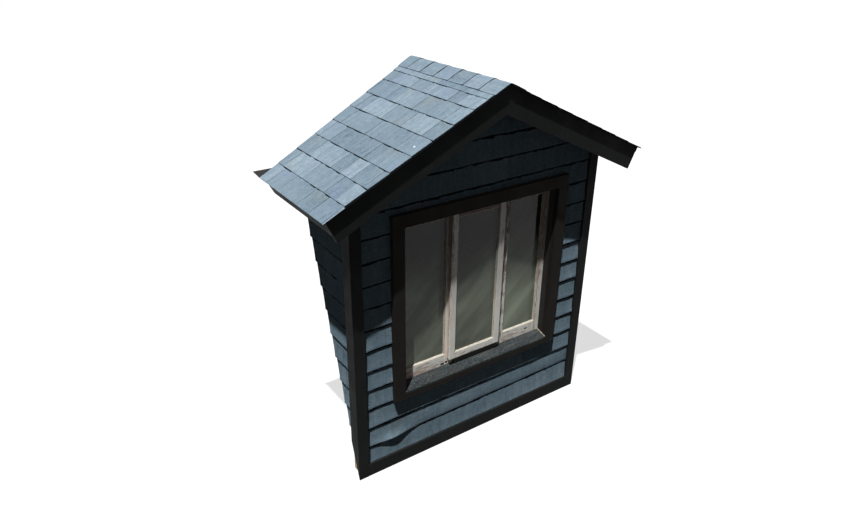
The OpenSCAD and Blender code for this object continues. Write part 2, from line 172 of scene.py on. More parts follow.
class Shader:
    """A node tree with short calls for adding nodes and joining them."""

    def __init__(self, tree):
        self.tree = tree

    def add(self, kind, inputs=None, **settings):
        """A new node; inputs are given by name or by number."""
        node = self.tree.nodes.new(kind)
        for key, value in settings.items():
            setattr(node, key, value)
        for key, value in (inputs or {}).items():
            self.put(node.inputs[key], value)
        return node

    def put(self, socket, value):
        if isinstance(value, bpy.types.NodeSocket):
            self.tree.links.new(value, socket)
        else:
            socket.default_value = value

    def math(self, operation, a, b=0.0, clamp=False):
        return self.add("ShaderNodeMath", {0: a, 1: b}, operation=operation, use_clamp=clamp).outputs[0]

    def plus(self, a, b):
        return self.math("ADD", a, b)

    def minus(self, a, b, clamp=False):
        return self.math("SUBTRACT", a, b, clamp)

    def times(self, a, b, clamp=False):
        return self.math("MULTIPLY", a, b, clamp)

    def vector_math(self, operation, a, b, output="Vector"):
        return self.add("ShaderNodeVectorMath", {0: a, 1: b}, operation=operation).outputs[output]

    def blend(self, share, a, b, way="MIX"):
        return self.add("ShaderNodeMix", {0: share, 6: a, 7: b}, data_type="RGBA", blend_type=way,
                        clamp_factor=True).outputs[2]

    def ramp(self, value, low, high, start=0.0, end=1.0):
        """Maps low..high smoothly to start..end."""
        return self.add("ShaderNodeMapRange", {"Value": value, "From Min": low, "From Max": high,
                                               "To Min": start, "To Max": end},
                        interpolation_type="SMOOTHSTEP").outputs["Result"]

    def mapped(self, at, **change):
        return self.add("ShaderNodeMapping", {"Vector": at, **change}).outputs["Vector"]

    def texture(self, kind, at, scale, more=None, **settings):
        """A texture at a place; the scale is a number, or three that stretch it along the axes."""
        if isinstance(scale, tuple):
            at, scale = self.mapped(at, Scale=scale), 1.0
        return self.add(kind, {"Vector": at, "Scale": scale, **(more or {})}, **settings).outputs

    def noise(self, at, scale, detail=2.0, roughness=0.5):
        more = {"Detail": detail, "Roughness": roughness}
        return self.texture("ShaderNodeTexNoise", at, scale, more)["Fac"]

    def cells(self, at, scale, **settings):
        return self.texture("ShaderNodeTexVoronoi", at, scale, **settings)

    def place(self):
        return self.add("ShaderNodeTexCoord").outputs["Object"]

    def axis(self, at, axis):
        return self.add("ShaderNodeSeparateXYZ", {"Vector": at}).outputs[axis]

    def stored(self, name, output="Fac"):
        """What the mesh holds under a name."""
        return self.add("ShaderNodeAttribute", attribute_name=name).outputs[output]

    def group(self, group, **inputs):
        node = self.add("ShaderNodeGroup", node_tree=group)
        for key, value in inputs.items():
            self.put(node.inputs[key.replace("_", " ").title()], value)
        return node.outputs

    def bump(self, height, strength, distance):
        return self.add("ShaderNodeBump", {"Height": height, "Strength": strength,
                                           "Distance": distance}).outputs["Normal"]

    def coat(self, shade, roughness, specular, normal, **others):
        """Gives the material's surface its colour, roughness, shine and relief."""
        skin = self.tree.nodes["Principled BSDF"]
        given = {"Base Color": shade, "Roughness": roughness, "Specular IOR Level": specular,
                 "Normal": normal, **others}
        for key, value in given.items():
            self.put(skin.inputs[key], value)


def new_group(name, setting, usual, results):
    """A shader group that takes a place and one setting, and gives the named values."""
    tree = bpy.data.node_groups.new(name, "ShaderNodeTree")
    tree.interface.new_socket("Place", in_out="INPUT", socket_type="NodeSocketVector")
    number = tree.interface.new_socket(setting, in_out="INPUT", socket_type="NodeSocketFloat")
    number.default_value = usual
    for result in results:
        tree.interface.new_socket(result, in_out="OUTPUT", socket_type="NodeSocketFloat")
    shader = Shader(tree)
    return shader, shader.add("NodeGroupInput").outputs, shader.add("NodeGroupOutput").inputs


def granule_group():
    """Crushed stone pressed into asphalt: a speckle of light and dark grains, and their relief."""
    g, given, out = new_group("stone granules", "Grain Size", 0.0015, ("Speckle", "Relief"))
    scale = g.math("DIVIDE", 1.0, given["Grain Size"])
    cells = g.cells(given["Place"], scale)
    grain_tone = g.add("ShaderNodeSeparateColor", {"Color": cells["Color"]}).outputs["Red"]
    clusters = g.noise(given["Place"], g.times(scale, 0.22), detail=3.0)
    speckle = g.plus(g.times(grain_tone, 0.5), g.times(clusters, 0.9))
    g.put(out["Speckle"], g.minus(speckle, 0.20, clamp=True))
    rounded = g.minus(1.0, cells["Distance"])
    g.put(out["Relief"], g.plus(rounded, g.times(clusters, 0.6)))
    return g.tree


def weather_group():
    """Broad blotches and runs that rain leaves, from 0 to 1."""
    g, given, out = new_group("weather marks", "Run Length", 8.0, ("Blotches", "Runs"))
    g.put(out["Blotches"], g.noise(given["Place"], 5.0, detail=5.0, roughness=0.6))
    squeeze = g.add("ShaderNodeCombineXYZ", {"X": 1.0, "Y": 1.0,
                                             "Z": g.math("DIVIDE", 1.0, given["Run Length"])})
    runs_at = g.vector_math("MULTIPLY", given["Place"], squeeze.outputs[0])
    g.put(out["Runs"], g.noise(runs_at, 42.0, detail=4.0, roughness=0.65))
    return g.tree


def grain_group():
    """Wood grain along Z of the place given: rings, fine fibres and knots."""
    g, given, out = new_group("wood grain", "Shift", 0.0, ("Rings", "Fibres", "Knots"))
    shift = g.add("ShaderNodeCombineXYZ", {axis: given["Shift"] for axis in "XYZ"})
    at = g.vector_math("ADD", given["Place"], shift.outputs[0])
    knot = g.ramp(g.cells(at, (9.0, 9.0, 2.6))["Distance"], 0.05, 0.16, 1.0, 0.0)
    bend = g.noise(at, (7.0, 7.0, 1.1))
    rings = g.math("SINE", g.plus(g.times(bend, 75.0), g.times(knot, 4.0)))
    g.put(out["Rings"], g.ramp(rings, -1.0, 1.0))
    g.put(out["Fibres"], g.noise(at, (520.0, 520.0, 14.0), detail=3.0, roughness=0.6))
    g.put(out["Knots"], knot)
    return g.tree


def edge_group():
    """Outer edges: 1 on the edge, 0 on flat faces; used for rubbed wear, and on the trim for a painted
    highlight where edges catch light.
    """
    g, given, out = new_group("rubbed and lit edges", "Width", 0.003, ("Edge",))
    rounded = g.add("ShaderNodeBevel", {"Radius": given["Width"]}, samples=4).outputs["Normal"]
    plain = g.add("ShaderNodeNewGeometry").outputs["Normal"]
    bent = g.minus(1.0, g.vector_math("DOT_PRODUCT", rounded, plain, "Value"))
    broken = g.ramp(g.noise(given["Place"], 130.0, detail=3.0), 0.35, 0.65)
    g.put(out["Edge"], g.times(g.ramp(bent, 0.01, 0.12), broken, clamp=True))
    return g.tree


GRANULES = granule_group()
WEATHER = weather_group()
GRAIN = grain_group()
RUBBED_AND_LIT_EDGES = edge_group()


def new_material(name):
    material = bpy.data.materials.new(name)
    material.use_nodes = True
    return material, Shader(material.node_tree)


def shingle_material(name, stone, light_stone, dark_stone, band, snap, tinting, splash=None):
    """Granules in three tones, shifted tab by tab, with a painted shadow band just under the next course:
    partly the printed band of laminated shingles, widened to stand for the shade each butt casts.

    The band swells and thins along the course: in steps where snap is small, else in waves.
    Tinting says how far single tabs lean to olive or to violet. Splash is the place of a white splash.
    """
    material, s = new_material(name)
    at = s.place()
    laid = s.stored("laid", "Vector")
    tone = s.stored("tone")
    fine = s.group(GRANULES, place=at, grain_size=0.0018)
    coarse = s.group(GRANULES, place=at, grain_size=0.0075)
    runs = s.noise(laid, (105.0, 9.0, 1.0), detail=3.0, roughness=0.6)
    columns = s.noise(laid, (24.0, 2.0, 1.0))
    patch = s.noise(at, 2.6, detail=4.0, roughness=0.6)
    level = s.times(tone, 0.34)
    for part, weight in ((coarse["Speckle"], 0.62), (fine["Speckle"], 0.45), (runs, 0.80),
                         (columns, 0.70), (patch, 0.45)):
        level = s.plus(level, s.times(s.minus(part, 0.5), weight))
    shade = s.blend(s.ramp(level, -0.75, 0.05), dark_stone, stone)
    shade = s.blend(s.ramp(level, -0.05, 0.75), shade, light_stone)
    tint = s.noise(laid, (2.4, 3.0, 0.0))
    shade = s.blend(s.ramp(tint, 0.54, 0.72, 0.0, tinting), shade, colour(142, 144, 132))
    shade = s.blend(s.ramp(tint, 0.46, 0.28, 0.0, tinting), shade, colour(132, 144, 176))
    up = s.axis(laid, "Y")
    waver = s.ramp(s.noise(laid, (9.0, 0.0, 0.0), detail=3.0), 0.5 - snap, 0.5 + snap)
    edge = s.plus(up, s.times(s.minus(waver, 0.5), band))
    # Painted shade: a dark band just under the next course's butt, where the butt's shadow falls
    painted_shadow_band = s.ramp(edge, EXPOSURE - band, EXPOSURE - 0.75 * band)
    shade = s.blend(painted_shadow_band, shade, colour(20, 23, 26))
    if splash:
        away = s.vector_math("DISTANCE", at, splash, "Value")
        ragged = s.plus(away, s.times(s.noise(at, 160.0), 0.008))
        shade = s.blend(s.ramp(ragged, 0.0125, 0.0095), shade, colour(226, 230, 230))
    relief = s.plus(fine["Relief"], s.times(coarse["Relief"], 1.6))
    s.coat(shade, s.ramp(fine["Relief"], 0.4, 1.4, 0.97, 0.84), 0.012, s.bump(relief, 0.6, 0.0011))
    return material


def asphalt_edge_material():
    """The cut edge and underside of a shingle."""
    material, s = new_material("asphalt edge")
    speck = s.noise(s.place(), 900.0)
    shade = s.blend(s.ramp(speck, 0.4, 0.75), colour(26, 28, 31), colour(58, 62, 66))
    s.coat(shade, s.ramp(speck, 0.3, 0.7, 0.8, 0.95), 0.05, s.bump(speck, 0.5, 0.0006))
    return material


def trim_material(name, dark, worn):
    """Coil-coated sheet bent round boards: nearly flat, a little wavy, dusty where rain doesn't reach."""
    material, s = new_material(name)
    at = s.place()
    marks = s.group(WEATHER, place=at, run_length=9.0)
    edge = s.group(RUBBED_AND_LIT_EDGES, place=at, width=0.0025)["Edge"]
    shade = s.blend(s.times(s.ramp(marks["Blotches"], 0.45, 0.72), 0.45), dark, worn)
    shade = s.blend(s.times(s.ramp(marks["Runs"], 0.52, 0.75), 0.3), shade, worn)
    # Lighter edges: rubbed coating, and a painted highlight where the bent edges catch light
    shade = s.blend(s.times(edge, 0.35), shade, colour(80, 78, 74))
    waves = s.noise(at, 6.0, detail=1.0)
    emboss = s.noise(at, (380.0, 380.0, 30.0))
    relief = s.plus(s.times(waves, 5.0), s.times(emboss, 0.12))
    s.coat(shade, s.ramp(marks["Blotches"], 0.3, 0.7, 0.55, 0.75), 0.035, s.bump(relief, 0.35, 0.0012))
    return material


def wood_material(name, light, dark, along):
    """Sawn wood; along turns the place so that the grain follows the member's length."""
    material, s = new_material(name)
    at = s.mapped(s.place(), Rotation=along)
    island = s.add("ShaderNodeNewGeometry").outputs["Random Per Island"]
    grain = s.group(GRAIN, place=at, shift=s.times(island, 17.0))
    marks = s.group(WEATHER, place=at, run_length=3.0)
    shade = s.blend(s.times(grain["Rings"], 0.55), light, dark)
    shade = s.blend(s.times(s.ramp(grain["Fibres"], 0.35, 0.7), 0.25), shade, dark)
    shade = s.blend(s.times(grain["Knots"], 0.75), shade, colour(92, 58, 34))
    shade = s.blend(s.times(s.ramp(marks["Blotches"], 0.5, 0.75), 0.3), shade, colour(132, 118, 100))
    warm = s.plus(s.times(island, 0.30), 0.80)
    tint = s.add("ShaderNodeCombineColor", {"Red": warm, "Green": warm, "Blue": warm}).outputs["Color"]
    relief = s.plus(grain["Fibres"], s.times(grain["Rings"], 0.5))
    s.coat(s.blend(1.0, shade, tint, "MULTIPLY"), s.ramp(grain["Fibres"], 0.2, 0.8, 0.65, 0.87), 0.25,
           s.bump(relief, 0.4, 0.0006))
    return material


def strand_board_material(name, along):
    """Pressed board of wood strands."""
    material, s = new_material(name)
    at = s.mapped(s.place(), Rotation=along)
    layers = []
    for lean, shift in ((0.22, 0.0), (-0.55, 3.7)):
        leaning = s.mapped(at, Rotation=(lean, lean, 0.0), Location=(shift,) * 3)
        strands = s.cells(leaning, (17.0, 17.0, 62.0))
        tone = s.add("ShaderNodeSeparateColor", {"Color": strands["Color"]}).outputs["Green"]
        fibres = s.noise(leaning, (16.0, 16.0, 460.0), detail=3.0)
        layers.append((tone, fibres, s.ramp(strands["Distance"], 0.50, 0.80)))
    upper = s.ramp(layers[0][0], 0.42, 0.50)
    tone, fibres, gaps = (s.blend(upper, low, high) for low, high in zip(*layers))
    level = s.plus(s.times(tone, 0.45), s.times(fibres, 0.55))
    shade = s.blend(s.ramp(level, 0.25, 0.75), colour(176, 140, 96), colour(222, 192, 144))
    shade = s.blend(s.times(gaps, 0.35), shade, colour(128, 96, 62))
    s.coat(shade, s.ramp(fibres, 0.2, 0.8, 0.65, 0.85), 0.25, s.bump(s.minus(tone, gaps), 0.25, 0.0006))
    return material


def old_paint_material():
    """Cream paint that flakes off weathered wood; the wear of each board says how much is lost. Higher up
    more paint is lost and paint and wood darken: painted shade of the overhang, partly weathering.
    """
    material, s = new_material("old sash paint")
    at = s.place()
    wear = s.stored("wear")
    level = s.stored("level")
    dark = s.stored("dark")
    height = s.axis(at, "Z")
    turned = s.mapped(at, Rotation=ACROSS)
    along = s.blend(level, at, turned)
    grain = s.group(GRAIN, place=along, shift=3.0)
    marks = s.group(WEATHER, place=at, run_length=6.0)
    flakes = s.noise(along, (95.0, 95.0, 15.0), detail=6.0, roughness=0.66)
    edge = s.group(RUBBED_AND_LIT_EDGES, place=at, width=0.004)["Edge"]
    # Painted shade: higher up, paint and wood darken and more paint is lost, where the overhang's shade
    # falls; partly weathering
    high = s.ramp(s.plus(height, s.times(marks["Blotches"], 0.4)), 1.0, 1.7)
    lost = s.plus(flakes, s.times(wear, 0.36))
    lost = s.plus(lost, s.times(high, 0.15))
    lost = s.plus(lost, s.times(edge, 0.06))
    peeled = s.ramp(lost, 0.645, 0.675)
    rim = s.minus(s.ramp(lost, 0.60, 0.645), peeled, clamp=True)
    wood = s.blend(s.ramp(grain["Fibres"], 0.30, 0.62), colour(166, 136, 122), colour(228, 204, 188))
    cracks = s.ramp(s.noise(along, (210.0, 210.0, 9.0), detail=3.0), 0.60, 0.70)
    wood = s.blend(s.times(cracks, 0.75), wood, colour(70, 50, 42))
    # The 'dark' weight darkens bare wood: weathered wood on the right sash's lapped stile, and rot with
    # painted shade in the slots
    wood = s.blend(s.times(dark, 0.85), wood, colour(50, 42, 38))
    wood = s.blend(s.times(high, 0.75), wood, colour(62, 54, 55))
    paint = s.blend(s.ramp(marks["Runs"], 0.45, 0.8), colour(250, 248, 240), colour(226, 220, 206))
    paint = s.blend(s.times(high, 0.72), paint, colour(104, 102, 104))
    paint = s.blend(s.times(rim, 0.45), paint, colour(150, 134, 118))
    relief = s.plus(s.times(s.minus(1.0, peeled), 1.6), s.times(grain["Fibres"], 0.5))
    s.coat(s.blend(peeled, paint, wood), s.ramp(peeled, 0.0, 1.0, 0.38, 0.85), 0.4,
           s.bump(relief, 0.7, 0.0008))
    return material


def putty_material():
    """Old glazing putty, painted with the sash and cracked; darker higher up, which is painted shade."""
    material, s = new_material("old putty")
    at = s.place()
    cracks = s.cells(at, (60.0, 60.0, 34.0), feature="DISTANCE_TO_EDGE")
    crack = s.ramp(cracks["Distance"], 0.0, 0.05, 1.0, 0.0)
    marks = s.group(WEATHER, place=at, run_length=4.0)
    height = s.axis(at, "Z")
    # Painted shade: the putty darkens higher up, where the overhang's shade falls
    high = s.ramp(s.plus(height, s.times(marks["Blotches"], 0.4)), 1.0, 1.6)
    shade = s.blend(marks["Blotches"], colour(226, 220, 204), colour(166, 154, 134))
    shade = s.blend(s.times(high, 0.8), shade, colour(72, 62, 56))
    shade = s.blend(s.times(crack, 0.7), shade, colour(60, 48, 40))
    s.coat(shade, s.ramp(marks["Blotches"], 0.3, 0.7, 0.6, 0.8), 0.3,
           s.bump(s.times(crack, -1.0), 0.6, 0.0008))
    return material


def glass_material():
    """Old window glass under a film of dust with slanting smears; the film is paler towards the bottom
    and towards the right.
    """
    material, s = new_material("dirty glass")
    at = s.place()
    marks = s.group(WEATHER, place=at, run_length=5.0)
    slant = s.mapped(at, Rotation=(0.0, math.radians(42), 0.0))
    smears = s.noise(slant, (1.6, 1.0, 7.0), roughness=0.45)
    height = s.axis(at, "Z")
    low = s.ramp(s.plus(height, s.times(marks["Blotches"], 0.3)), 1.65, 0.85)
    film = s.times(s.ramp(smears, 0.36, 0.70), 0.48)
    film = s.plus(film, s.times(s.ramp(marks["Blotches"], 0.4, 0.7), 0.12))
    film = s.plus(film, s.times(s.ramp(marks["Runs"], 0.5, 0.8), 0.05))
    across = s.axis(at, "X")
    film = s.plus(film, s.ramp(across, 0.15, 0.35, 0.0, 0.18))
    film = s.times(s.plus(film, 0.36), s.plus(s.times(low, 0.92), 0.08), clamp=True)
    waves = s.noise(at, 9.0, detail=1.0)
    shade = s.blend(film, colour(22, 26, 25), colour(166, 176, 156))
    s.coat(shade, s.ramp(film, 0.0, 1.0, 0.05, 0.22), 0.06,
           s.bump(waves, 0.12, 0.002), **{"Transmission Weight": 0.3, "IOR": 1.45})
    return material


def sill_material():
    """Dark mineral-faced sheet over the sill, gritty and dusty."""
    material, s = new_material("gritty sill")
    at = s.place()
    grit = s.group(GRANULES, place=at, grain_size=0.0022)
    marks = s.group(WEATHER, place=at, run_length=1.0)
    shade = s.blend(s.ramp(grit["Speckle"], 0.30, 0.90), colour(30, 35, 38), colour(82, 88, 90))
    shade = s.blend(s.ramp(grit["Speckle"], 0.82, 0.95), shade, colour(158, 164, 162))
    streaks = s.noise(at, (3.5, 42.0, 3.0), detail=4.0, roughness=0.65)
    shade = s.blend(s.ramp(streaks, 0.52, 0.72, 0.0, 0.45), shade, colour(104, 108, 106))
    shade = s.blend(s.ramp(marks["Blotches"], 0.45, 0.7, 0.0, 0.3), shade, colour(66, 64, 56))
    s.coat(shade, s.ramp(grit["Relief"], 0.3, 1.3, 0.92, 0.7), 0.1, s.bump(grit["Relief"], 0.6, 0.0012))
    return material


def painted_frame_material():
    """The window's frame: dark paint in front of the sashes, red-brown stain from them inwards."""
    material, s = new_material("frame paint")
    at = s.place()
    marks = s.group(WEATHER, place=at, run_length=6.0)
    grain = s.group(GRAIN, place=at, shift=5.0)
    edge = s.group(RUBBED_AND_LIT_EDGES, place=at, width=0.003)["Edge"]
    shade = s.blend(marks["Blotches"], colour(112, 72, 58), colour(144, 100, 82))
    shade = s.blend(s.times(s.ramp(marks["Runs"], 0.5, 0.8), 0.3), shade, colour(78, 52, 44))
    shade = s.blend(s.times(edge, 0.6), shade, colour(168, 138, 116))
    depth = s.axis(at, "Y")
    outside = s.blend(marks["Runs"], colour(32, 31, 30), colour(50, 48, 45))
    outside = s.blend(s.times(edge, 0.5), outside, colour(104, 98, 92))
    waver = s.times(marks["Blotches"], 0.006)
    shade = s.blend(s.ramp(s.plus(depth, waver), 0.020, 0.026), outside, shade)
    s.coat(shade, s.ramp(marks["Blotches"], 0.3, 0.7, 0.42, 0.6), 0.15,
           s.bump(grain["Fibres"], 0.25, 0.0006))
    return material


def metal_material(name, light, dark, metallic, rough_low, rough_high):
    """Plain or coated metal with finger marks and rubbed edges."""
    material, s = new_material(name)
    at = s.place()
    marks = s.group(WEATHER, place=at, run_length=2.0)
    edge = s.group(RUBBED_AND_LIT_EDGES, place=at, width=0.0015)["Edge"]
    shade = s.blend(marks["Blotches"], dark, light)
    shade = s.blend(s.times(edge, 0.5), shade, colour(190, 190, 186))
    s.coat(shade, s.ramp(marks["Blotches"], 0.3, 0.7, rough_low, rough_high), 0.5,
           s.bump(marks["Runs"], 0.1, 0.0005), Metallic=metallic)
    return material


UPRIGHT = (0.0, 0.0, 0.0)
ACROSS = (0.0, math.pi / 2, 0.0)
BACKWARDS = (math.pi / 2, 0.0, 0.0)
DOWN_SLOPE_RIGHT = (0.0, math.pi / 2 + PITCH, 0.0)
UP_SEAT = (SEAT_LEAN, 0.0, 0.0)

SPLASH = (-0.568, -0.170, 2.141)
SPRUCE = (colour(230, 208, 170), colour(204, 172, 128))
MATERIALS = {
    "roof_shingle": shingle_material("roof shingle", colour(126, 144, 157), colour(158, 174, 186),
                                     colour(89, 107, 121), 0.005, 0.04, 0.24, SPLASH),
    # The walls' painted shadow band is wider than the roof's, as the butts cast longer shadows there
    "wall_shingle": shingle_material("wall shingle", colour(122, 144, 157), colour(155, 174, 187),
                                     colour(84, 102, 115), 0.018, 0.30, 0.12),
    "asphalt_edge": asphalt_edge_material(),
    "dark_trim": trim_material("dark trim", colour(34, 35, 35), colour(53, 54, 53)),
    "casing_trim": trim_material("casing trim", colour(38, 36, 34), colour(58, 54, 50)),
    "soffit": trim_material("dark soffit", colour(38, 38, 38), colour(56, 56, 55)),
    "drip_metal": trim_material("drip edge metal", colour(38, 38, 39), colour(56, 54, 52)),
    "flashing": metal_material("dark flashing", colour(70, 68, 66), colour(38, 37, 37), 0.2, 0.45, 0.6),
    "sill": sill_material(),
    "frame_wood": painted_frame_material(),
    "old_paint": old_paint_material(),
    "putty": putty_material(),
    "glass": glass_material(),
    "latch": metal_material("zinc latch", colour(196, 196, 192), colour(150, 150, 148), 0.6, 0.35, 0.55),
    "wood_upright": wood_material("spruce upright", *SPRUCE, UPRIGHT),
    "wood_across": wood_material("spruce across", *SPRUCE, ACROSS),
    "wood_back": wood_material("spruce running back", *SPRUCE, BACKWARDS),
    "wood_slope": wood_material("spruce rafter", *SPRUCE, DOWN_SLOPE_RIGHT),
    "wood_seat": wood_material("spruce on the seat", *SPRUCE, UP_SEAT),
    "board_wall": strand_board_material("strand board wall", UPRIGHT),
    "board_roof": strand_board_material("strand board roof", BACKWARDS),
}


# Finish of the pieces that the frame already has in their right shape

def dress(node, material, rounding):
    """Gives a frame piece its finish and rounds its sharp edges."""
    piece = NODES[node]
    piece.data.materials.clear()
    piece.data.materials.append(MATERIALS[material])
    if rounding:
        weld = piece.modifiers.new("weld", "WELD")
        weld.merge_threshold = 0.00002
        bevel = piece.modifiers.new("rounded edges", "BEVEL")
        bevel.width = rounding
        bevel.segments = 3
        bevel.limit_method = "ANGLE"
        bevel.angle_limit = math.radians(35)
        bevel.harden_normals = True


# For each finish, how far edges are rounded and which pieces have it
FINISHES = {
    "wood_upright": (0.002, "wall_studs", "cheek_studs"),
    "wood_across": (0.002, "sole_plate", "rough_sill", "window_header", "front_top_plate"),
    "wood_back": (0.002, "cheek_top_plates", "ridge_board"),
    "wood_slope": (0.002, "rafters"),
    "wood_seat": (0.002, "cheek_sole_plates", "valley_plates"),
    "board_wall": (0.0, "front_sheathing", "cheek_sheathing_left", "cheek_sheathing_right"),
    "board_roof": (0.0, "roof_deck_left", "roof_deck_right"),
    "soffit": (0.001, "rake_soffits", "eave_soffits"),
    "dark_trim": (0.0025, "rake_board_left", "rake_board_right", "eave_fascia_left", "eave_fascia_right",
                  "corner_board_left", "corner_board_right", "base_trim"),
    "casing_trim": (0.0025, "casing_head", "casing_sides", "casing_apron"),
    "drip_metal": (0.0, "drip_edge_left", "drip_edge_right"),
    "flashing": (0.0, "valley_flashings"),
    "sill": (0.002, "window_sill"),
    "frame_wood": (0.002, "window_frame"),
    "glass": (0.0, "panes"),
    "latch": (0.0008, "sash_latch"),
}
for finish, (edge_rounding, *names) in FINISHES.items():
    for node_name in names:
        dress(node_name, finish, edge_rounding)


# Shingles

def wall_place(side):
    """Matrix from (along the course, up, out) to the frame, for the front wall or a cheek."""
    up = Vector((0, 0, 1))
    out = {"front": Vector((0, -1, 0)), "left": Vector((-1, 0, 0)), "right": Vector((1, 0, 0))}[side]
    origin = Vector((0, WALL_FACE, 0)) if side == "front" else Vector((out.x * HALF_W, 0, 0))
    along = up.cross(out)
    return Matrix((along, up, out)).transposed().to_4x4(), origin


def slope_out(side):
    """The way a roof slope faces."""
    return Vector(((-1 if side == "left" else 1) * math.sin(PITCH), 0, math.cos(PITCH)))


def slope_place(side):
    """The same for a roof slope: 0 up is the ridge, and the courses lie below it."""
    out = slope_out(side)
    up = Vector(((1 if side == "left" else -1) * math.cos(PITCH), 0, math.sin(PITCH)))
    return Matrix((up.cross(out), up, out)).transposed().to_4x4(), Vector((0, 0, RIDGE_H))


ROOF_HABITS = {"grid": 0.013, "waviness": 0.0004, "wobble": 0.0009, "curl": 0.0004,
               "butt": 0.0048, "tooth": 0.0014, "tones": 0.85, "rise": 0.0, "gap": 0.0010, "taper": 1.0}
WALL_HABITS = {"grid": 0.016, "waviness": 0.0009, "wobble": 0.0034, "curl": 0.0070,
               "butt": 0.0086, "tooth": 0.0003, "tones": 0.50, "rise": 0.0, "gap": 0.0002, "taper": 0.1}


class Laying:
    """Lays shingle sheets on one plane into one mesh.

    The habits say how coarse the mesh is, how wavy and loose the sheets are, how far a butt and
    a tooth stand out, how much the tabs differ in tone, how far a course runs out of level, how
    wide a joint is and how far the tabs narrow upwards.
    """

    def __init__(self, place, seed, habits):
        self.turn, self.origin = place
        self.bm = bmesh.new()
        self.tone = self.bm.faces.layers.float.new("tone")
        self.laid = self.bm.verts.layers.float_vector.new("laid")
        self.draw = random.Random(seed)
        self.habits, self.grid = habits, habits["grid"]
        self.covered = 0.0

    def lift(self, u, v):
        """How far the free lower edge stands off: more in some places than in others."""
        return self.habits["curl"] * (0.35 + 0.9 * max(0.0, ripple(u * 5, v * 11, 0.0)) ** 1.3)

    def sheet(self, u_low, u_high, v_low, v_high, height, tone, slant=0.0):
        """One sheet as a grid. height(share) is how far it stands out from butt to top."""
        across = max(2, round((u_high - u_low) / self.grid))
        tall = v_high - v_low
        rows = [self.grid * k for k in range(1, math.ceil(tall / self.grid))]
        rows = [0.0, WORN_EDGE] + [r for r in rows if r < tall - 0.004] + [tall]
        shift = self.draw.uniform(0, 50)
        lines = []
        for r in rows:
            line = []
            up = r / tall
            free = max(0.0, 1 - r / FREE_EDGE) ** 2
            for i in range(across + 1):
                share = i / across
                u = mix(u_low, u_high, share) + slant * up * (1 - 2 * share)
                edge = ripple(u * 9, v_low * 5, 3.1) + 0.4 * ripple(u * 34, shift, 8.7)
                v = v_low + r + self.habits["wobble"] * edge * (1 - up) + self.habits["rise"] * u
                out = height(up) + self.habits["waviness"] * ripple(u * 7, v * 7, 0.3)
                out += free * self.lift(u, v_low)
                out -= WORN_BY if r == 0.0 else 0.0
                vert = self.bm.verts.new(self.origin + (self.turn @ Vector((u, v, out))))
                vert[self.laid] = Vector((u + shift, r + self.covered, 0.0))
                line.append(vert)
            lines.append(line)
        weave(self.bm, lines, self.tone, tone)

    def course(self, u_low, u_high, butt, reach):
        """One course of base sheets and teeth from u_low to u_high, with its lower edge at butt."""
        top = butt + reach

        def base(up):
            return mix(self.habits["butt"], BASE_AT_TOP, min(1.0, up * reach / EXPOSURE))

        def tooth(up):
            return base(up) + self.habits["tooth"]

        tones, gap = self.habits["tones"], self.habits["gap"]
        joint = u_low - self.draw.uniform(0.1, 0.9) * SHEET_LENGTH
        while joint < u_high:
            low, high = max(joint + gap / 2, u_low), min(joint + SHEET_LENGTH - gap / 2, u_high)
            if high - low > 0.02:
                self.sheet(low, high, butt, top, base, tones * self.draw.uniform(-0.7, 0.2))
            joint += SHEET_LENGTH
        u = u_low - self.draw.uniform(0.0, 0.12)
        while u < u_high:
            width = self.draw.uniform(0.11, 0.27)
            low, high = max(u, u_low), min(u + width, u_high)
            if high - low > 0.025:
                whole = low > u_low and high < u_high
                slant = self.draw.uniform(0.001, 0.004) * self.habits["taper"] if whole else 0.0
                tone = tones * self.draw.uniform(-0.6, 1.0)
                self.sheet(low, high, butt - 0.0006, top, tooth, tone, slant)
            space = self.draw.choice((gap, gap, 0.09, 0.15))
            u += width + space * self.draw.uniform(0.8, 1.2)

    def cut(self, at, outwards, drop_outer=True):
        """Cuts the mesh at a plane and drops what lies in front of it."""
        geometry = self.bm.verts[:] + self.bm.edges[:] + self.bm.faces[:]
        bmesh.ops.bisect_plane(self.bm, geom=geometry, plane_co=at, plane_no=outwards, dist=1e-6,
                               clear_outer=drop_outer)

    def cut_hole(self, x_low, x_high, z_low, z_high):
        """Takes a rectangle out of courses on the front wall."""
        for at, normal in planes_round(x_low, x_high, z_low, z_high):
            self.cut(at, normal, drop_outer=False)
        inside = []
        for face in self.bm.faces:
            c = face.calc_center_median()
            if x_low < c.x < x_high and z_low < c.z < z_high:
                inside.append(face)
        bmesh.ops.delete(self.bm, geom=inside, context="FACES")

    def finish(self, name, material, replaces):
        """Makes the piece: sheets with their thickness and crisp cut edges of bare asphalt."""
        materials = MATERIALS[material], MATERIALS["asphalt_edge"]
        piece = new_piece(name, self.bm, materials, replaces)
        solid = piece.modifiers.new("thickness", "SOLIDIFY")
        solid.thickness = SHEET_THICKNESS
        solid.offset = -1
        solid.material_offset_rim = 1
        crisp = piece.modifiers.new("crisp edges", "EDGE_SPLIT")
        crisp.split_angle = math.radians(40)


BULGE_AT, BULGE_REACH, BULGE_DEPTH = -0.65, 0.125, 0.0105
FLAT_FROM, FLAT_WITHIN, FLAT_BY = -0.54, 0.10, 0.0030
SAME_COURSE = 0.03


class FrontLaying(Laying):
    """The front wall, where one shingle of the second course has come loose and bulges.

    To its right the same course lies flat on the one below.
    """

    def lift(self, u, v):
        plain = super().lift(u, v)
        if abs(v - FIRST_COURSE - EXPOSURE) > SAME_COURSE:
            return plain
        bulge = smooth(1 - abs(u - BULGE_AT) / BULGE_REACH)
        flat = smooth((u - FLAT_FROM) / FLAT_WITHIN)
        return plain * (1 - flat) + BULGE_DEPTH * bulge - FLAT_BY * flat


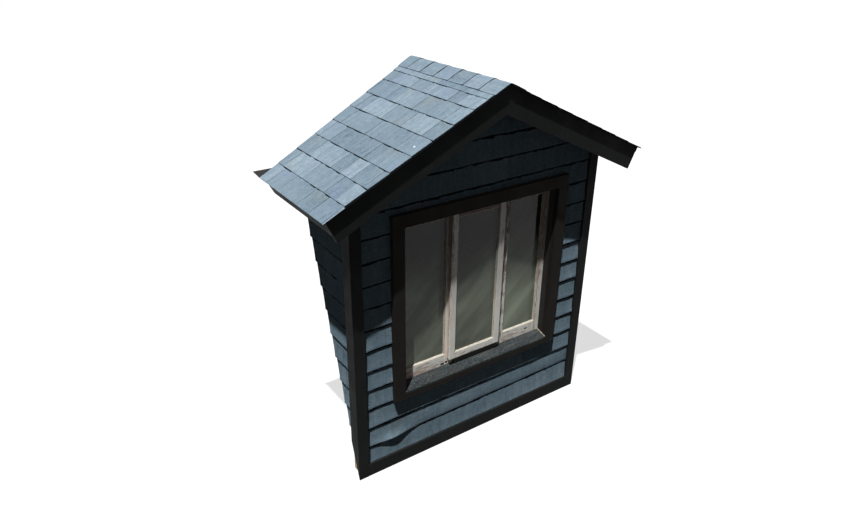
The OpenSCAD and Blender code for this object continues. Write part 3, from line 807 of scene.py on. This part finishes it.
SEAT_AT = Vector((0, SEAT_FOOT, 0))
SEAT_OUT = Vector((0, math.cos(SEAT_LEAN), -math.sin(SEAT_LEAN)))


def soffit_plane(side):
    """A point on the soffits' underside and its upward normal, left or right of the ridge."""
    out = slope_out(side)
    return Vector((0, 0, RIDGE_H)) - out * SOFFIT_DEPTH, out


# At the rake a starter strip shows in front of the tabs; its paler tone is a painted highlight of its
# sunlit top
TABS_BEHIND = 0.009
STARTER_PAST, STARTER_UNDER = 0.010, 0.06
STARTER_RISE, STARTER_HIGHLIGHT_TONE = 0.0020, 1.2
SHORTEST_COURSE = 0.03


def roof_shingles(side, seed):
    laying = Laying(slope_place(side), seed, ROOF_HABITS)
    back = SEAT_FOOT + RIDGE_H * math.tan(SEAT_LEAN) + 0.03
    front = SHINGLE_FRONT + TABS_BEHIND
    u_low, u_high = front, back
    starter = (front - STARTER_PAST, front + STARTER_UNDER)
    if side == "left":
        u_low, u_high = -back, -front
        starter = (-starter[1], -starter[0])
    laying.sheet(*starter, -EAVE_S, -0.02, lambda up: STARTER_RISE, STARTER_HIGHLIGHT_TONE)
    s = EAVE_S
    while s > LAST_COURSE + SHORTEST_COURSE:
        reach = min(EXPOSURE + HEAD_LAP, s - LAST_COURSE + HEAD_LAP)
        laying.covered = EXPOSURE + HEAD_LAP - reach
        laying.course(u_low, u_high, -s, reach)
        s -= EXPOSURE
    laying.covered = 0.0
    laying.course(u_low, u_high, -LAST_COURSE, LAST_COURSE - 0.012)
    laying.cut(SEAT_AT, SEAT_OUT)
    laying.finish("roof_tabs_" + side, "roof_shingle", ("roof_shingles_" + side,))


# How far a course of the front lies above its even place, and how much it rises to the right
ODD_STEPS = {1: (0.013, 0.011), 2: (0.007, 0.004), 3: (0.007, 0.004), 4: (0.005, 0.005)}
OTHER_STEPS = (0.0, 0.011)
FRONT_RAISED = 0.008


def front_shingles():
    laying = FrontLaying(wall_place("front"), 23, dict(WALL_HABITS))
    half = HALF_W - CORNER_WIDTH
    level = FIRST_COURSE + FRONT_RAISED
    step = 0
    while level < RIDGE_H - SOFFIT_DEPTH:
        raised, laying.habits["rise"] = ODD_STEPS.get(step, OTHER_STEPS)
        next_raised = ODD_STEPS.get(step + 1, OTHER_STEPS)[0]
        laying.covered = raised - next_raised
        laying.course(-half, half, level + raised, EXPOSURE + HEAD_LAP - laying.covered)
        level += EXPOSURE
        step += 1
    laying.cut(Vector((0, 0, BASE_TOP)), Vector((0, 0, -1)))
    laying.cut_hole(-CASING_HIGH.x, CASING_HIGH.x, CASING_LOW.z, CASING_HIGH.z)
    for side in ("left", "right"):
        laying.cut(*soffit_plane(side))
    laying.finish("front_tabs", "wall_shingle", ("front_shingles",))


def cheek_shingles(side, seed):
    laying = Laying(wall_place(side), seed, WALL_HABITS)
    near = TRIM_FACE + CORNER_SIDE_WIDTH
    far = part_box("cheek_shingles_" + side)[1].y + 0.02
    u_low, u_high = (-far, -near) if side == "left" else (near, far)
    butt = FIRST_COURSE
    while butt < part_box("cheek_shingles_" + side)[1].z:
        laying.course(u_low, u_high, butt, EXPOSURE + HEAD_LAP)
        butt += EXPOSURE
    laying.cut(SEAT_AT, SEAT_OUT)
    laying.cut(*soffit_plane(side))
    laying.finish("cheek_tabs_" + side, "wall_shingle", ("cheek_shingles_" + side,))


CAP_BEND = 0.011
CAP_ROWS = [0.0, WORN_EDGE] + [0.012 * k for k in range(1, 14)]
CAP_STEPS = 26
CAP_FOOT = ROOF_HABITS["butt"] + ROOF_HABITS["tooth"] + SHEET_THICKNESS


def cap_rise(s, r, lap, shift):
    """How far a cap stands above the deck, s down the slope and r behind its front edge."""
    rise = CAP_FOOT + mix(lap, 0.0002, min(1.0, r / EXPOSURE)) - (WORN_BY if r == 0.0 else 0.0)
    rise -= 0.0012 * smooth((abs(s) - 0.06) / 0.06)
    return rise + 0.0006 * ripple(s * 12, r * 12, shift)


def ridge_cap(laying, y, lap):
    """One cap bent over the ridge, with its front edge at y."""
    tone = laying.draw.uniform(-0.3, 0.7)
    skew = laying.draw.uniform(-0.002, 0.002)
    shift = laying.draw.uniform(0, 40)
    lines = []
    for r in CAP_ROWS:
        line = []
        for i in range(CAP_STEPS + 1):
            s = mix(-CAP_WIDTH, CAP_WIDTH, i / CAP_STEPS)
            rounded = math.sqrt(s * s + CAP_BEND * CAP_BEND)
            z = RIDGE_H + cap_rise(s, r, lap, shift) / math.cos(PITCH) - rounded * math.sin(PITCH)
            wobble = 0.0012 * ripple(s * 14, shift, 2.0) + skew * s / CAP_WIDTH
            vert = laying.bm.verts.new((s * math.cos(PITCH), y + r + wobble, z))
            vert[laying.laid] = Vector((s + shift, r, 0.0))
            line.append(vert)
        lines.append(line)
    weave(laying.bm, lines, laying.tone, tone)


def ridge_caps():
    """Each cap laps the one in front of it."""
    laying = Laying(slope_place("left"), 5, ROOF_HABITS)
    y = SHINGLE_FRONT
    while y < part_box("ridge_caps")[1].y:
        ridge_cap(laying, y, 0.0004 if y == SHINGLE_FRONT else 0.0030)
        y += EXPOSURE
    laying.cut(SEAT_AT, SEAT_OUT)
    laying.finish("bent_ridge_caps", "roof_shingle", ("ridge_caps",))


roof_shingles("left", 11)
roof_shingles("right", 12)
front_shingles()
cheek_shingles("left", 31)
cheek_shingles("right", 32)
ridge_caps()


# Sashes

def sill_top(y):
    return SILL_HEIGHT + (y - CASING_LOW.y) * math.tan(SILL_SLOPE)


SEAM = 0.0004
RAIL_BEHIND = 0.0004
SLOT_RIM = 0.0015
# A slot's floor is bared and darkened: rot, and painted shade of the recess
SLOT_WEAR, SLOT_ROT_AND_SHADE = 1.2, 1.15
IN_PLANE, NEAR = 0.001, 1e-5


class Joinery:
    """Boards of one sash in one mesh, with the paint's wear at their edges.

    The sash's foot follows the sill's slope, a lift above it.
    """

    def __init__(self, face, lift=0.0):
        self.face, self.back = face, face + SASH_THICKNESS
        self.foot = (sill_top(self.face) + lift, sill_top(self.back) + lift)
        self.bm = bmesh.new()
        self.wear = self.bm.verts.layers.float.new("wear")
        self.level = self.bm.verts.layers.float.new("level")
        self.dark = self.bm.verts.layers.float.new("dark")

    def board(self, x, foot, top, wears, behind=0.0, darkness=0.0, wear_back=0.0):
        """An upright or level board from x[0] to x[1]; foot is a height for each of face and back.

        The wears are those of its left end, its right end and, on top of them, its foot.
        """
        wear_foot = wears[2] if len(wears) > 2 else 0.0
        lies = x[1] - x[0] > top - foot[0]
        ends = []
        for place, wear in zip(x, wears):
            end = []
            for y, z, worn in ((self.face + behind, foot[0], wear + wear_foot),
                               (self.back, foot[1], wear + wear_foot + wear_back),
                               (self.back, top, wear + wear_back),
                               (self.face + behind, top, wear)):
                vert = self.bm.verts.new((place, y, z))
                vert[self.wear] = worn
                vert[self.level] = 1.0 if lies else 0.0
                vert[self.dark] = darkness
                end.append(vert)
            ends.append(end)
        wrap(self.bm, ends, ends=True)

    def join(self, low, high, widths, rail, wears, **left_stile):
        """Two stiles and, between them, two rails; the wears are in the order of making."""
        self.board((low.x + SEAM, low.x + widths[0]), self.foot, high.z, wears[0], **left_stile)
        self.board((high.x - widths[1], high.x - SEAM), self.foot, high.z, wears[1])
        inner = (low.x + widths[0] + SEAM, high.x - widths[1] - SEAM)
        self.board(inner, self.foot, self.foot[0] + rail, wears[2], RAIL_BEHIND)
        self.board(inner, (high.z - STILE_WIDTH,) * 2, high.z, wears[3], RAIL_BEHIND)

    def fronts(self, x_low, x_high, z_low, z_high):
        """The boards' front faces that reach into a rectangle."""
        found = []
        for face in self.bm.faces:
            xs, zs = [v.co.x for v in face.verts], [v.co.z for v in face.verts]
            across = min(xs) < x_high - NEAR and max(xs) > x_low + NEAR
            upwards = min(zs) < z_high - NEAR and max(zs) > z_low + NEAR
            if across and upwards and abs(face.calc_center_median().y - self.face) <= IN_PLANE:
                found.append(face)
        return found

    def cut_fronts(self, *hole):
        """Cuts the boards' front faces along the four sides of a rectangle."""
        for at, normal in planes_round(*hole):
            faces = self.fronts(*hole)
            edges = dict.fromkeys(e for f in faces for e in f.edges)
            corners = dict.fromkeys(v for f in faces for v in f.verts)
            bmesh.ops.bisect_plane(self.bm, geom=[*corners, *edges, *faces], plane_co=at, plane_no=normal,
                                   dist=1e-6)

    def gouge(self, x_low, x_high, low, high, depth):
        """Pushes a rotten slot into the boards, its floor bared and darkened: rot, and painted shade of
        the recess; low and high are heights above the foot.
        """
        z_low, z_high = self.foot[0] + low, self.foot[0] + high
        self.cut_fronts(x_low - SLOT_RIM, x_high + SLOT_RIM, z_low - SLOT_RIM, z_high + SLOT_RIM)
        self.cut_fronts(x_low, x_high, z_low, z_high)
        slot = self.fronts(x_low, x_high, z_low, z_high)
        for vert in dict.fromkeys(v for f in slot for v in f.verts):
            vert[self.wear] = SLOT_WEAR
            vert[self.dark] = SLOT_ROT_AND_SHADE
        pushed = bmesh.ops.extrude_face_region(self.bm, geom=slot)["geom"]
        bmesh.ops.delete(self.bm, geom=slot, context="FACES")
        for vert in (g for g in pushed if isinstance(g, bmesh.types.BMVert)):
            vert.co.y += depth

    def finish(self, name, node):
        bmesh.ops.recalc_face_normals(self.bm, faces=self.bm.faces[:])
        piece = new_piece(name, self.bm, (MATERIALS["old_paint"],), (node,), flat=True)
        bevel = piece.modifiers.new("rounded edges", "BEVEL")
        bevel.width = 0.0024
        bevel.segments = 3
        bevel.harden_normals = True


def sash_left():
    low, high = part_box("sash_left")
    made = Joinery(low.y)
    made.join(low, high, (STILE_WIDTH, LAPPED_STILE_WIDTH), RAIL_HEIGHT,
              ((0.5, 0.3, 0.3), (-0.25, 0.2), (0.30, -0.05, 0.38), (0.4, 0.4)))
    made.gouge(-0.262, -0.236, 0.005, 0.019, 0.014)
    made.gouge(-0.229, -0.208, 0.009, 0.023, 0.012)
    made.finish("painted_sash_left", "sash_left")


def sash_middle():
    low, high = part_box("sash_middle")
    made = Joinery(low.y, low.z - sill_top(low.y))
    made.join(low, high, (STILE_WIDTH, STILE_WIDTH), MIDDLE_RAIL_HEIGHT,
              ((0.1, -0.4), (-0.35, -0.15), (0.1, -0.2, 0.35), (0.5, 0.5)), wear_back=1.2)
    made.finish("painted_sash_middle", "sash_middle")


def sash_right():
    low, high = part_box("sash_right")
    made = Joinery(low.y)
    made.join(low, high, (LAPPED_STILE_WIDTH, STILE_WIDTH), RAIL_HEIGHT,
              ((0.8, 0.05), (0.55, -0.5), (0.25, -0.15, 0.30), (0.5, 0.5)), darkness=0.5)
    made.gouge(0.450, 0.474, 0.035, 0.045, 0.012)
    made.finish("painted_sash_right", "sash_right")


PUTTY_SIDE, PUTTY_FOOT, PUTTY_STEPS = 0.009, 0.006, 20


def putty(name, light, face, rail):
    """The sloped bead of putty between a sash and its pane, round the light from side to side."""
    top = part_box("sash_left")[1].z - STILE_WIDTH
    bm = bmesh.new()
    loops = []
    for share, depth in ((0.0, 0.0010), (1.0, GLASS_SET - 0.0008), (1.0, GLASS_SET), (0.0, GLASS_SET)):
        x0, x1 = light[0] + PUTTY_SIDE * share, light[1] - PUTTY_SIDE * share
        z0, z1 = rail + PUTTY_FOOT * share, top - PUTTY_SIDE * share
        corners = [(x0, z0), (x1, z0), (x1, z1), (x0, z1)]
        loop = []
        for (ax, az), (bx, bz) in zip(corners, corners[1:] + corners[:1]):
            for k in range(PUTTY_STEPS):
                x, z = mix(ax, bx, k / PUTTY_STEPS), mix(az, bz, k / PUTTY_STEPS)
                dent = 0.0011 * ripple(x * 30, z * 30, face * 90 + share * 3) if k else 0.0
                loop.append(bm.verts.new((x, face + depth + (dent if depth < GLASS_SET else 0.0), z)))
        loops.append(loop)
    wrap(bm, loops + loops[:1])
    bmesh.ops.recalc_face_normals(bm, faces=bm.faces[:])
    new_piece(name, bm, (MATERIALS["putty"],), flat=True)


BEAD_SIZE, BEAD_STEPS = 0.0026, 24


def sealant_bead():
    """A pale bead of sealant where the sill's right end meets the casing."""
    bm = bmesh.new()
    x = CASING_HIGH.x - CASING_WIDTH - 0.0025
    front, back = CASING_LOW.y + 0.001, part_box("sash_right")[0].y
    rings = []
    for k in range(BEAD_STEPS + 1):
        y = mix(front, back, k / BEAD_STEPS)
        size = BEAD_SIZE * (1 + 0.35 * ripple(y * 60, 1.0, 4.0))
        z = sill_top(y) + 0.4 * size
        turns = [math.radians(60 * corner) for corner in range(6)]
        rings.append([bm.verts.new((x + size * math.cos(turn), y, z + size * math.sin(turn)))
                      for turn in turns])
    wrap(bm, rings, ends=True)
    bmesh.ops.recalc_face_normals(bm, faces=bm.faces[:])
    new_piece("sealant_bead", bm, (MATERIALS["putty"],))


def putty_beads():
    left_low, left_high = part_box("sash_left")
    middle_low, middle_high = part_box("sash_middle")
    right_low, right_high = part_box("sash_right")
    left_light = (left_low.x + STILE_WIDTH, left_high.x - LAPPED_STILE_WIDTH)
    middle_light = (middle_low.x + STILE_WIDTH, middle_high.x - STILE_WIDTH)
    right_light = (right_low.x + LAPPED_STILE_WIDTH, right_high.x - STILE_WIDTH)
    rail = sill_top(left_low.y) + RAIL_HEIGHT
    putty("putty_left", left_light, left_low.y, rail)
    putty("putty_middle", middle_light, middle_low.y, middle_low.z + MIDDLE_RAIL_HEIGHT)
    putty("putty_right", right_light, right_low.y, rail)


sash_left()
sash_middle()
sash_right()
putty_beads()
sealant_bead()


# Camera, fitted to the photograph's view

IMAGE_WIDTH = 850
FOCAL_PIXELS = 691.54
SENSOR = 36.0
EYE = Vector((-2.4369, -3.0326, 3.1803))
HEADING, DIP, ROLL = 0.5956, 0.4581, 0.0069


def camera():
    level = Vector((math.cos(HEADING), -math.sin(HEADING), 0))
    ahead = Vector((math.sin(HEADING), math.cos(HEADING), 0))
    forward = math.cos(DIP) * ahead - Vector((0, 0, math.sin(DIP)))
    upward = level.cross(forward)
    right = math.cos(ROLL) * level + math.sin(ROLL) * upward
    top = math.cos(ROLL) * upward - math.sin(ROLL) * level
    data = bpy.data.cameras.new("camera")
    data.sensor_width = SENSOR
    data.lens = FOCAL_PIXELS / IMAGE_WIDTH * SENSOR
    eye = new_object("camera", data)
    turn = Matrix((right, top, -forward)).transposed().to_4x4()
    eye.matrix_world = Matrix.Translation(EYE) @ turn
    bpy.context.scene.camera = eye


# Light and floor

KEY_TRAVEL = Vector((0.252, 0.198, -0.947))
BACK_TRAVEL = Vector((-0.62, -0.74, -0.26))
FILL_LEVEL = 0.036
FLOOR_SIZE = 60.0
FLOOR_GLOW = 0.66


def lamp(name, travel, strength, softness):
    data = bpy.data.lights.new(name, "SUN")
    data.energy = strength
    data.angle = math.radians(softness)
    shining = new_object(name, data)
    shining.rotation_mode = "QUATERNION"
    shining.rotation_quaternion = travel.to_track_quat("-Z", "Y")


def seen(s):
    """1 for what the camera sees, straight or by way of the panes, and 0 for light on the dormer."""
    path = s.add("ShaderNodeLightPath").outputs
    by_panes = s.math("MAXIMUM", path["Is Glossy Ray"], path["Is Transmission Ray"])
    return s.math("MAXIMUM", path["Is Camera Ray"], by_panes)


def surroundings():
    world = bpy.data.worlds.new("studio")
    world.use_nodes = True
    s = Shader(world.node_tree)
    background = world.node_tree.nodes["Background"]
    s.put(background.inputs["Strength"], s.plus(s.times(seen(s), 1.0 - FILL_LEVEL), FILL_LEVEL))
    background.inputs["Color"].default_value = (1.0, 1.0, 1.0, 1.0)
    bpy.context.scene.world = world


def floor():
    """A pale floor that shows as nearly white and keeps the shadow."""
    bm = bmesh.new()
    bmesh.ops.create_grid(bm, x_segments=8, y_segments=8, size=FLOOR_SIZE / 2)
    material, s = new_material("pale floor")
    s.tree.nodes.clear()
    glow = s.add("ShaderNodeEmission", {"Color": (1, 1, 1, 1), "Strength": FLOOR_GLOW})
    shade = s.add("ShaderNodeBsdfDiffuse", {"Color": (0.34, 0.34, 0.34, 1)})
    pale = s.add("ShaderNodeAddShader", {0: glow.outputs[0], 1: shade.outputs[0]})
    plain = s.add("ShaderNodeBsdfDiffuse", {"Color": (0.03, 0.03, 0.03, 1)})
    choice = s.add("ShaderNodeMixShader", {0: seen(s), 1: plain.outputs[0], 2: pale.outputs[0]})
    s.add("ShaderNodeOutputMaterial", {"Surface": choice.outputs[0]})
    piece = mesh_object("studio_floor", bm, (material,))


camera()
lamp("key", KEY_TRAVEL, 4.5, 0.8)
lamp("back", BACK_TRAVEL, 1.5, 25.0)
surroundings()
floor()
bpy.context.scene.view_settings.view_transform = "Standard"
